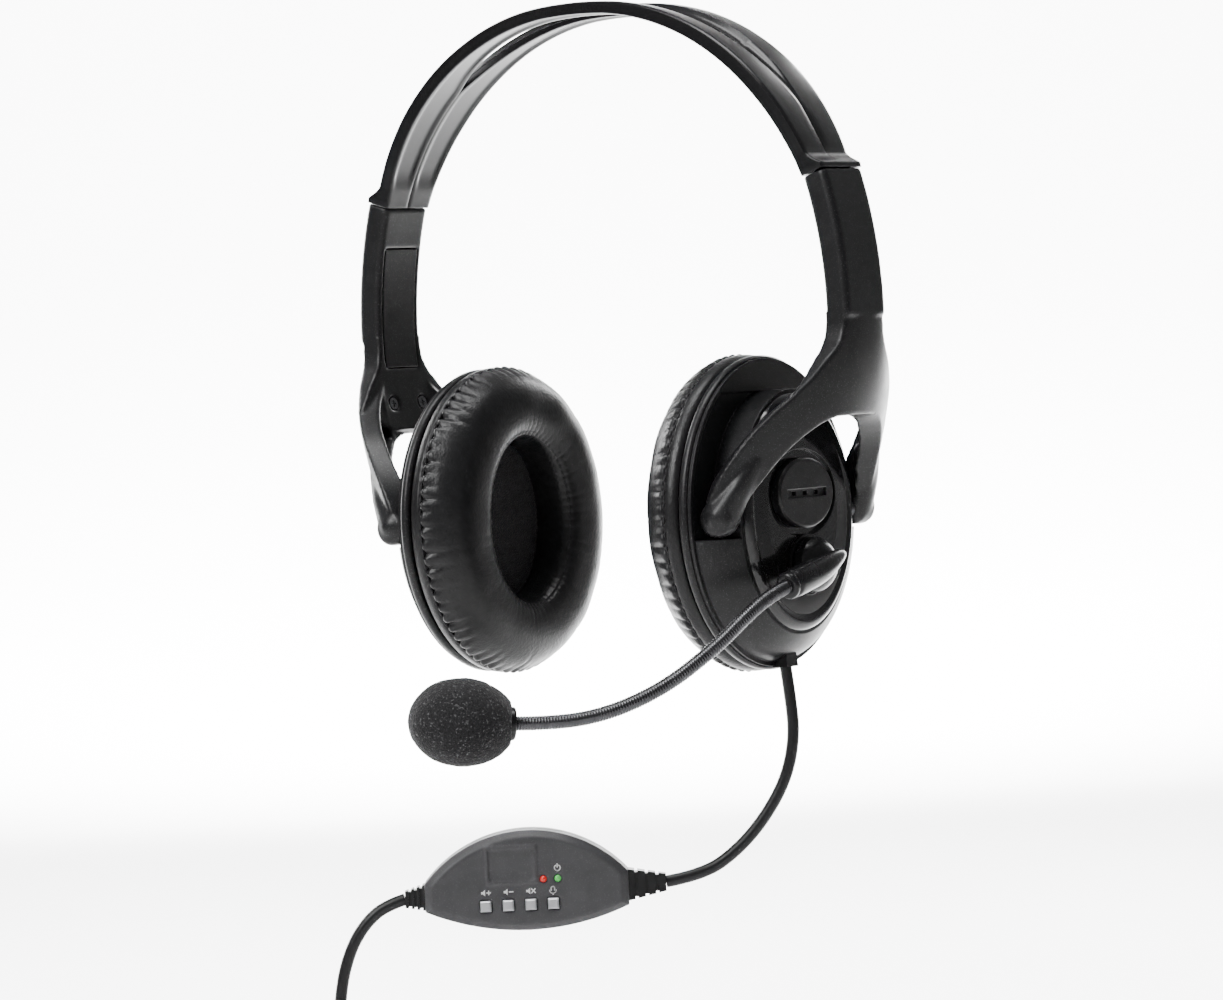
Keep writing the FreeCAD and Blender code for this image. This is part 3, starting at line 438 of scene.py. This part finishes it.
def make_cushions():
    """Both cushions' covers, with a row of short stitches along each outer seam."""
    points, columns = cushion_points()
    for side, sign in SIDES:
        name = "cushion_cover_" + side
        obj = mesh_object(name, mirrored(points, sign), grid_faces(CUSHION_AROUND, columns, True))
        fix_normals(obj)
        finish_piece(obj, LOOKS["leatherette"], "leatherette", "cup_" + side, "ear_cushion_" + side)
        seam = []
        faces = []
        for k in range(BITES):
            phi = 2 * math.pi * k / BITES
            half = 0.40 * math.pi / BITES * 1.3
            base = len(seam)
            for ring in range(5):
                a = phi + half * (ring - 2) / 2
                girth = 0.42 * math.sin(math.pi * (ring + 0.35) / 4.7)
                for corner in range(6):
                    b = 2 * math.pi * corner / 6
                    out = 0.05 + girth * math.cos(b)
                    seam.append((45.0 + girth * math.sin(b), (41.2 + out) * math.cos(a),
                                 (46.0 + out) * math.sin(a)))
            for f in grid_faces(5, 6):
                faces.append(tuple(v + base for v in f))
        stitches = mesh_object("cushion_stitches_" + side, mirrored(seam, sign), faces)
        fix_normals(stitches)
        finish_piece(stitches, LOOKS["thread"], "leatherette", "cup_" + side)


# ---- headband ----
BAND_TOP = 152.8
CROWN_R = 142.3
CROWN_ANGLE = 4.8
SHOULDER_R = 80.5
BAND_WALL = 3.7
SLOT_HALF_WIDTH = 5.8
SLOT_HALF_LENGTH = 57.5
RECESS_HALF_WIDTH = 8.8
RECESS_HALF_LENGTH = 75.0
RECESS_DEPTH = 2.0
FLARE_ANGLE = 23                 # where the lip leaves the shoulder
INNER_SHARE = 0.925              # part of the inner arc that faces the shoulder
SHOULDER_STEPS = 44
SLEEVE = Vector((-49.15, 0, 58.0))
SLEEVE_R = 140.0
SLEEVE_TOP_ANGLE = 16.9
ARM_THICK = 8.0
GAP = 0.3
LOOP_POINTS = 30                 # points of one strap's cross-section


def polar(centre, radius, angle):
    a = math.radians(angle)
    return Vector((centre.x + radius * math.cos(a), 0, centre.z + radius * math.sin(a)))


def circle_through(a, b, c):
    """Centre of the circle through three points of the XZ plane."""
    ax, az, bx, bz, cx, cz = a.x, a.z, b.x, b.z, c.x, c.z
    d = 2 * (ax * (bz - cz) + bx * (cz - az) + cx * (az - bz))
    aa, bb, cc = ax * ax + az * az, bx * bx + bz * bz, cx * cx + cz * cz
    return Vector(((aa * (bz - cz) + bb * (cz - az) + cc * (az - bz)) / d, 0,
                   (aa * (cx - bx) + bb * (ax - cx) + cc * (bx - ax)) / d))


def half_band_stations():
    """Pairs of outer and inner points, from the crown's middle to the lip over the sleeve."""
    crown = Vector((0, 0, BAND_TOP - CROWN_R))
    shoulder = polar(polar(crown, CROWN_R, 90 - CROWN_ANGLE), -SHOULDER_R, 90 - CROWN_ANGLE)
    lip_angle = SLEEVE_TOP_ANGLE + math.degrees(GAP / SLEEVE_R)
    lip_out = polar(SLEEVE, SLEEVE_R, lip_angle)
    lip_in = polar(SLEEVE, SLEEVE_R - ARM_THICK, lip_angle)
    lip_top = lip_out + Vector((-0.4, 0, 1.5))
    flare = polar(shoulder, SHOULDER_R, FLARE_ANGLE)
    inner_mid = polar(shoulder, SHOULDER_R - BAND_WALL - 0.9, 42)
    inner_top = polar(shoulder, SHOULDER_R - BAND_WALL, 90 - CROWN_ANGLE)
    centre = circle_through(lip_in, inner_mid, inner_top)
    radius = (inner_top - centre).length
    start = math.degrees(math.atan2(inner_top.z - centre.z, inner_top.x - centre.x))
    end = math.degrees(math.atan2(lip_in.z - centre.z, lip_in.x - centre.x))
    pairs = []
    for k in range(6):
        angle = 90 - CROWN_ANGLE * k / 6
        pairs.append((polar(crown, CROWN_R, angle), polar(crown, CROWN_R - BAND_WALL, angle)))
    top_angle = 90 - CROWN_ANGLE
    for k in range(SHOULDER_STEPS + 1):
        t = k / SHOULDER_STEPS
        pairs.append((polar(shoulder, SHOULDER_R, top_angle - t * (top_angle - FLARE_ANGLE)),
                      polar(centre, radius, start + (end - start) * t * INNER_SHARE)))
    middle = flare + Vector((1.7, 0, -1.5))
    pull = 2 * middle - (flare + lip_top) / 2
    for k in range(1, 7):
        t = k / 6.5
        point = flare * (1 - t) ** 2 + pull * 2 * t * (1 - t) + lip_top * t ** 2
        share = INNER_SHARE + 0.055 * t
        pairs.append((point, polar(centre, radius, start + (end - start) * share)))
    tail = [(lip_top + Vector((0.03, 0, -0.12)), 0.984), (lip_top + Vector((0.12, 0, -0.5)), 0.989),
            (lip_out + Vector((0.0, 0, 0.12)), 0.998), (lip_out + Vector((-0.15, 0, 0.0)), 1.0)]
    for point, t in tail:
        pairs.append((point, polar(centre, radius, start + (end - start) * t)))
    return pairs


def band_half_width(z):
    """The band's half-width at a height, interpolated between stations."""
    profile = [(90.0, 10.0), (97.0, 10.0), (110.0, 11.55), (124.0, 12.9), (138.0, 13.7),
               (153.8, 14.1)]
    for (z0, w0), (z1, w1) in zip(profile, profile[1:]):
        if z <= z1:
            return w0 + (w1 - w0) * (z - z0) / (z1 - z0)
    return profile[-1][1]


def band_loop(outer, inner, reach):
    """Closed cross-section of one strap, from the slot's edge to the band's side."""
    up = outer - inner
    thick = up.length
    up = up.normalized()
    width = band_half_width(outer.z)
    slot = SLOT_HALF_WIDTH * max(0.0, 1 - (outer.x / SLOT_HALF_LENGTH) ** 4)
    near = slot if slot > 0.05 else 0.0
    lens = RECESS_HALF_WIDTH * max(0.0, 1 - (outer.x / RECESS_HALF_LENGTH) ** 2)
    recess = max(near + 0.15, lens)
    depth = RECESS_DEPTH * smoothstep(0.3, 5.0, recess)
    ledge = recess - min(1.5, 0.75 * (recess - near))
    fade = 1 - smoothstep(77.0, 80.0, abs(outer.x))
    crease = 0.3 * (1 - smoothstep(0.0, 0.3, slot)) * (1 - smoothstep(0.3, 1.0, recess)) * fade
    stops = [(near, 0.0), (ledge, 0.5), (ledge, 1.0), (recess, 0.45), (recess, 0.98)]
    across = []
    last = near
    for stop, share in stops:
        across.append(last + (stop - last) * share)
        last = across[-1]
    across += [recess + (width - recess) * t
               for t in (0.02, 0.12, 0.28, 0.46, 0.64, 0.80, 0.91, 0.96, 0.985, 1.0)]
    loop = []
    for w in across:
        dip = depth * (1 - smoothstep(ledge, recess, w)) if recess > near + 0.16 else 0.0
        t = (w - recess) / (width - recess)
        crown = 0.15 * math.sin(math.pi * min(max(t, 0.0), 1.0)) * fade
        soft = 0.4 * (1 - smoothstep(0.0, 0.55, width - w))
        soft += 0.25 * (1 - smoothstep(0.0, 0.4, w - near)) * smoothstep(0.5, 2.0, slot)
        loop.append((w, -dip + crown - soft - crease * (1 - smoothstep(0.0, 1.2, w))))
    hollow = min(0.75, 0.2 * thick) * fade
    for k in range(15):
        t = 1 - k / 14
        w = near + (width - near) * t
        edge = min(t, 1 - t) * (width - near)
        inward = hollow * smoothstep(0.9, 2.2, edge)
        soft = 0.25 * (1 - smoothstep(0.0, 0.4, edge))
        loop.append((w, -thick + inward + soft))
    return [(outer.x + up.x * h, reach * w, outer.z + up.z * h) for w, h in loop]


def make_headband():
    """The band as two straps, one each side of its slot."""
    half = half_band_stations()
    flip = [(Vector((-a.x, 0, a.z)), Vector((-b.x, 0, b.z))) for a, b in half[1:]]
    stations = list(reversed(flip)) + half
    points = []
    faces = []
    for reach in (1, -1):
        base = len(points)
        for outer, inner in stations:
            points += band_loop(outer, inner, reach)
        faces += [tuple(v + base for v in f) for f in grid_faces(len(stations), LOOP_POINTS)]
        faces.append(tuple(base + j for j in range(LOOP_POINTS)))
        last = base + (len(stations) - 1) * LOOP_POINTS
        faces.append(tuple(last + j for j in range(LOOP_POINTS)))
    obj = mesh_object("headband_shell", points, faces)
    fix_normals(obj)
    split = obj.modifiers.new("edges", "EDGE_SPLIT")
    split.split_angle = math.radians(50)
    finish_piece(obj, LOOKS["band_plastic"], "band_plastic", "headband", "headband")


# ---- microphone boom ----
BOOM_ROUTE = [(74.0, -28.2, -21.6), (72.6, -38.5, -26.2), (67.6, -50.6, -36.2),
              (59.4, -66.0, -46.8), (48.4, -81.7, -53.2), (36.9, -96.0, -53.8),
              (29.5, -103.3, -52.9)]
BOOM_BACK = Vector((74.0, 4.0, -14.9))
ELBOW_FRONT = Vector((74.0, -23.4, -20.6))
MIC_AXIS = Vector((-0.72, -0.69, 0.085)).normalized()
TUBE_R = 2.0
TUBE_AROUND = 18
RIB_HEIGHT = 0.12
RIB_PITCH = 0.85
INTO_ELBOW = 9.5                 # how far the tube starts behind the route's first point
FOAM_LENGTH_R = 15.3
FOAM_R = 12.4
FOAM_AHEAD = 9.8                 # from the route's end to the foam's middle


def line_points(route, resolution):
    """Points along the smooth curve of a route, in millimetres."""
    curve = cord_curve("route", route)
    curve.data.bevel_depth = 0
    curve.data.resolution_u = resolution
    mesh = bpy.data.meshes.new_from_object(curve)
    points = [v.co / MM for v in mesh.vertices]
    bpy.data.objects.remove(curve)
    bpy.data.meshes.remove(mesh)
    return points


def spread(points, step):
    """The same line with points a fixed step apart."""
    result = [points[0].copy()]
    left = step
    for a, b in zip(points, points[1:]):
        span = (b - a).length
        while span > left:
            a = a + (b - a) * (left / span)
            result.append(a.copy())
            span -= left
            left = step
        left -= span
    result.append(points[-1].copy())
    return result


def make_gooseneck():
    """Flexible tube with a fine spiral rib."""
    start = Vector(BOOM_ROUTE[0])
    inside = start + (BOOM_BACK - start).normalized() * INTO_ELBOW
    line = spread(line_points([inside] + BOOM_ROUTE, 64), 0.16)
    points = []
    side = Vector((0, 0, 1))
    travelled = 0.0
    for k, point in enumerate(line):
        tangent = (line[min(k + 1, len(line) - 1)] - line[max(k - 1, 0)]).normalized()
        side = (side - tangent * side.dot(tangent)).normalized()
        other = tangent.cross(side)
        if k:
            travelled += (point - line[k - 1]).length
        for j in range(TUBE_AROUND):
            a = 2 * math.pi * j / TUBE_AROUND
            phase = 2 * math.pi * travelled / RIB_PITCH + a
            radius = TUBE_R + RIB_HEIGHT * math.cos(phase)
            points.append(point + side * radius * math.cos(a) + other * radius * math.sin(a))
    faces = grid_faces(len(line), TUBE_AROUND)
    faces.append(tuple(range(TUBE_AROUND)))
    last = (len(line) - 1) * TUBE_AROUND
    faces.append(tuple(range(last, last + TUBE_AROUND)))
    obj = mesh_object("gooseneck_spiral", points, faces)
    fix_normals(obj)
    finish_piece(obj, LOOKS["boom_steel"], "boom_steel", "mic_boom", "gooseneck")


def make_foam():
    """Porous egg over the capsule, a little uneven like cut foam."""
    work = bmesh.new()
    bmesh.ops.create_icosphere(work, subdivisions=6, radius=1.0)
    centre = Vector(BOOM_ROUTE[-1]) + MIC_AXIS * FOAM_AHEAD
    turn = MIC_AXIS.to_track_quat("X", "Z")
    for v in work.verts:
        d = v.co.copy()
        uneven = 1 + 0.02 * noise.noise(d * 1.7) + 0.006 * noise.noise(d * 9)
        pit = noise.noise(d * 44) * 0.5 + noise.noise(d * 70) * 0.5
        shape = Vector((FOAM_LENGTH_R * d.x, FOAM_R * d.y, FOAM_R * d.z)) * uneven
        mouth = math.hypot(shape.y, shape.z)
        if d.x < 0 and mouth < 6.0:
            shape.x += 2.6 * (1 - smoothstep(4.7, 6.0, mouth))
        shape += d * (-0.24 * max(0.0, pit) + 0.06 * pit)
        v.co = (centre + turn @ shape) * MM
    mesh = bpy.data.meshes.new("windscreen")
    work.to_mesh(mesh)
    work.free()
    mesh.shade_smooth()
    obj = link(bpy.data.objects.new("windscreen", mesh))
    finish_piece(obj, LOOKS["foam"], "foam", "mic_boom", "mic_foam")


# ---- controller's printed icons ----
REMOTE_S = -79.0
REMOTE_Z = -103.5
FACE_Y = -7.54
BUTTON_PITCH = 6.57
FIRST_BUTTON_X = -11.8
ICON_Z = -2.75
POWER_ICON = (9.5, 3.6)
INK = 0.00003                    # metres


def stroke(points, width=0.34):
    """Flat printed line of the face plane as quads: (x, z) points."""
    quads = []
    for (x0, z0), (x1, z1) in zip(points, points[1:]):
        dx, dz = x1 - x0, z1 - z0
        length = math.hypot(dx, dz)
        ox, oz = -dz / length * width / 2, dx / length * width / 2
        ex, ez = dx / length * width / 2, dz / length * width / 2
        quads.append([(x0 - ex + ox, z0 - ez + oz), (x1 + ex + ox, z1 + ez + oz),
                      (x1 + ex - ox, z1 + ez - oz), (x0 - ex - ox, z0 - ez - oz)])
    return quads


def arc_points(x, z, radius, start, end, count=10):
    angles = [math.radians(start + (end - start) * k / (count - 1)) for k in range(count)]
    return [(x + radius * math.cos(a), z + radius * math.sin(a)) for a in angles]


def speaker_icon(x, z):
    """The body and the horn of a small speaker."""
    return [[(x - 1.2, z - 0.35), (x - 0.7, z - 0.35), (x - 0.7, z + 0.35), (x - 1.2, z + 0.35)],
            [(x - 0.7, z - 0.35), (x - 0.05, z - 0.95), (x - 0.05, z + 0.95), (x - 0.7, z + 0.35)]]


def make_icons():
    """Generic signs over the keys and lights: louder, softer, sound off, microphone off, power."""
    quads = []
    x = [FIRST_BUTTON_X + BUTTON_PITCH * k for k in range(4)]
    z = ICON_Z
    for k in (0, 1):
        quads += speaker_icon(x[k], z)
        quads += stroke([(x[k] + 0.5, z), (x[k] + 1.5, z)])
    quads += stroke([(x[0] + 1.0, z - 0.5), (x[0] + 1.0, z + 0.5)])
    quads += speaker_icon(x[2], z)
    quads += stroke([(x[2] + 0.4, z - 0.55), (x[2] + 1.4, z + 0.55)])
    quads += stroke([(x[2] + 0.4, z + 0.55), (x[2] + 1.4, z - 0.55)])
    quads += stroke(arc_points(x[3], z + 0.45, 0.5, 0, 180, 8))
    quads += stroke([(x[3] - 0.5, z + 0.5), (x[3] - 0.5, z - 0.1)])
    quads += stroke([(x[3] + 0.5, z + 0.5), (x[3] + 0.5, z - 0.1)])
    quads += stroke(arc_points(x[3], z - 0.1, 0.95, 180, 360, 10), 0.26)
    quads += stroke([(x[3], z - 1.0), (x[3], z - 1.35)], 0.26)
    power_x, power_z = POWER_ICON
    quads += stroke(arc_points(power_x, power_z, 0.85, 125, 415, 14), 0.3)
    quads += stroke([(power_x, power_z + 0.2), (power_x, power_z + 1.1)], 0.3)
    points = []
    faces = []
    for quad in quads:
        base = len(points)
        points += [from_centre(px, FACE_Y, pz, REMOTE_S, REMOTE_Z) for px, pz in quad]
        faces.append(tuple(range(base, base + 4)))
    obj = mesh_object("controller_icons", points, faces, smooth=False)
    solid = obj.modifiers.new("ink", "SOLIDIFY")
    solid.thickness = INK
    finish_piece(obj, LOOKS["icon_white"], "key_silver", "cup_right")


# ---- studio ----
FLOOR_Z = -0.26                  # metres, as all lengths of this section
SWEEP_STEPS = 24
BACKDROP_REACH = 5.0
WALL_LIGHT = 1750
FLOOR_LIGHT = 1500


def area_light(name, place, target, size, power):
    """Rectangular panel that faces a target."""
    data = bpy.data.lights.new(name, "AREA")
    data.shape = "RECTANGLE"
    data.size, data.size_y = size
    data.energy = power
    lamp = link(bpy.data.objects.new(name, data))
    lamp.location = place
    lamp.rotation_mode = "QUATERNION"
    lamp.rotation_quaternion = (Vector(target) - Vector(place)).to_track_quat("-Z", "Y")


def make_studio():
    """Pale floor that sweeps up into a wall, a soft world, four panels and three spots on the backdrop."""
    back = Vector((math.sin(AZIMUTH), -math.cos(AZIMUTH), 0))
    across = Vector((math.cos(AZIMUTH), math.sin(AZIMUTH), 0))
    sweep = []
    for k in range(SWEEP_STEPS + 1):
        t = k / SWEEP_STEPS
        if t < 0.5:
            sweep.append((3.0 - 10.0 * t, 0.0))
        else:
            a = (t - 0.5) * math.pi
            sweep.append((-2.0 - 2.0 * math.sin(a), 2.0 - 2.0 * math.cos(a)))
    sweep.append((-4.0, 5.0))
    points = []
    for depth, height in sweep:
        for reach in (-BACKDROP_REACH, BACKDROP_REACH):
            place = back * depth + across * reach + Vector((0, 0, FLOOR_Z + height))
            points.append(place / MM)
    floor = mesh_object("backdrop", points, grid_faces(len(sweep), 2, closed_columns=False))
    floor.data.materials.append(surface("paper", (0.93, 0.93, 0.93), 0.85, mottle=(3, 0.01)))
    world = bpy.data.worlds.new("world")
    world.use_nodes = True
    nodes = world.node_tree.nodes
    links = world.node_tree.links
    background = nodes["Background"]
    background.inputs["Color"].default_value = (1, 1, 1, 1)
    direction = nodes.new("ShaderNodeTexCoord").outputs["Generated"]
    facing = nodes.new("ShaderNodeVectorMath")
    facing.operation = "DOT_PRODUCT"
    links.new(direction, facing.inputs[0])
    facing.inputs[1].default_value = -back
    strength = nodes.new("ShaderNodeMapRange")
    strength.interpolation_type = "SMOOTHSTEP"
    strength.inputs["From Min"].default_value = 0.15
    strength.inputs["From Max"].default_value = 0.95
    strength.inputs["To Min"].default_value = 0.18
    strength.inputs["To Max"].default_value = 0.8
    links.new(facing.outputs["Value"], strength.inputs["Value"])
    links.new(strength.outputs["Result"], background.inputs["Strength"])
    bpy.context.scene.world = world
    middle = (0, 0, 0.02)
    up = Vector((0, 0, 1))
    area_light("key", tuple(back * 0.9 - across * 1.0 + up * 1.0), middle, (0.5, 1.0), 21)
    area_light("left", tuple(back * -0.9 - across * 1.0 + up * 0.3), middle, (0.2, 1.2), 16)
    area_light("right", tuple(back * -1.25 + across * 0.75 + up * 0.3), middle, (0.2, 1.2), 14)
    area_light("top", tuple(back * 0.1 + up * 1.4), middle, (1.2, 0.35), 15)
    spots = [(back * -1.2 + across * 0.5 * reach + up * 1.9, back * -3.3 - up * 0.1, WALL_LIGHT, 62)
             for reach in (-1, 1)]
    spots.append((back * -1.0 + up * 2.0, back * -1.5 - up * 0.26, FLOOR_LIGHT, 76))
    for place, aim, power, cone in spots:
        data = bpy.data.lights.new("wall", "SPOT")
        data.energy = power
        data.spot_size = math.radians(cone)
        data.spot_blend = 0.7
        data.shadow_soft_size = 0.15
        lamp = link(bpy.data.objects.new("wall", data))
        lamp.location = place
        lamp.rotation_mode = "QUATERNION"
        lamp.rotation_quaternion = (aim - place).to_track_quat("-Z", "Y")


# ---- moulded pieces ----
FORK_VOXEL = 0.5                 # millimetres
SHELL_VOXEL = 0.3


def remeshed(obj, voxel, passes):
    """One skin over all of an object's parts, with its edges relaxed."""
    remesh = obj.modifiers.new("skin", "REMESH")
    remesh.mode = "VOXEL"
    remesh.voxel_size = voxel * MM
    remesh.use_smooth_shade = True
    relax = obj.modifiers.new("relax", "SMOOTH")
    relax.factor = 0.5
    relax.iterations = passes
    depsgraph = bpy.context.evaluated_depsgraph_get()
    baked = bpy.data.meshes.new_from_object(obj.evaluated_get(depsgraph))
    obj.modifiers.clear()
    obj.data = baked


def plain_copy(name, extra=()):
    """A CAD piece's mesh in the scene's frame, with other meshes beside it."""
    source = frame["nodes"][name]
    work = bmesh.new()
    work.from_mesh(source.data)
    work.transform(source.matrix_world)
    for mesh in extra:
        work.from_mesh(mesh)
    result = bpy.data.meshes.new(name + "_moulded")
    work.to_mesh(result)
    work.free()
    return link(bpy.data.objects.new(name + "_moulded", result))


def hull_between(balls):
    """Convex skin round a row of ellipsoids, each (centre, radii) in millimetres."""
    work = bmesh.new()
    for centre, radii in balls:
        made = bmesh.ops.create_icosphere(work, subdivisions=4, radius=1.0)
        for v in made["verts"]:
            v.co = (Vector(centre) + Vector(v.co[k] * radii[k] for k in range(3))) * MM
    made = bmesh.ops.convex_hull(work, input=work.verts)
    inner = [v for v in made["geom_interior"] if isinstance(v, bmesh.types.BMVert)]
    bmesh.ops.delete(work, geom=inner, context="VERTS")
    mesh = bpy.data.meshes.new("hull")
    work.to_mesh(mesh)
    work.free()
    return mesh


def make_forks():
    """The forks with rounded legs, which run on into their closed tips."""
    for side, sign in SIDES:
        name = "yoke_" + side
        tips = []
        for reach in (-1, 1):
            end = ((sign * 60.2, reach * 34.1, 0.2), (5.3, 5.1, 5.5))
            ankle = ((sign * 65.4, reach * 32.3, 8.0), (3.8, 3.8, 3.8))
            shin = ((sign * 68.8, reach * 28.7, 15.5), (3.9, 3.9, 3.9))
            tips += [hull_between([end, ankle]), hull_between([ankle, shin])]
        obj = plain_copy(name, tips)
        remeshed(obj, FORK_VOXEL, 9)
        finish_piece(obj, LOOKS["shell_plastic"], "shell_plastic", name, name)


ELBOW_PROFILE = [(0.0, 2.2), (0.0, 3.1), (0.25, 3.7), (0.9, 4.1), (1.9, 4.1), (2.4, 3.6),
                 (2.8, 3.6), (3.2, 4.1), (4.0, 4.3), (8.0, 4.3), (13.0, 4.2), (17.5, 4.0),
                 (21.5, 3.6), (25.0, 3.0), (28.0, 2.3), (30.2, 1.5), (31.4, 0.7), (31.8, 0.0)]


def make_elbow():
    """Drop-shaped elbow with a beaded collar, in front of the turning hub."""
    start = ELBOW_FRONT
    along = (BOOM_BACK - start).normalized()
    side = Vector((1, 0, 0))
    up = along.cross(side)
    around = 48
    points = []
    for distance, radius in ELBOW_PROFILE:
        lift = 1.6 * smoothstep(14.0, 33.0, distance)
        for j in range(around):
            a = 2 * math.pi * j / around
            points.append(start + along * distance + up * (radius * math.sin(a) - lift * along.y)
                          + side * radius * math.cos(a) * 0.92)
    obj = mesh_object("elbow_drop", points, grid_faces(len(ELBOW_PROFILE), around))
    fix_normals(obj)
    subdivide = obj.modifiers.new("round", "SUBSURF")
    subdivide.levels = 1
    subdivide.render_levels = 1
    finish_piece(obj, LOOKS["boom_plastic"], "boom_plastic", "mic_boom", "mic_elbow")


def make_controller():
    """The controller's two shells with rounded edges."""
    shells = []
    for name in ("remote_front", "remote_back"):
        obj = plain_copy(name)
        remeshed(obj, SHELL_VOXEL, 5)
        shells.append(finish_piece(obj, LOOKS["remote_plastic"], "remote_plastic", "cup_right", name))
    return shells


make_camera()
make_cords(make_controller())
make_cushions()
make_headband()
make_gooseneck()
make_foam()
make_icons()
make_forks()
make_elbow()
make_studio()
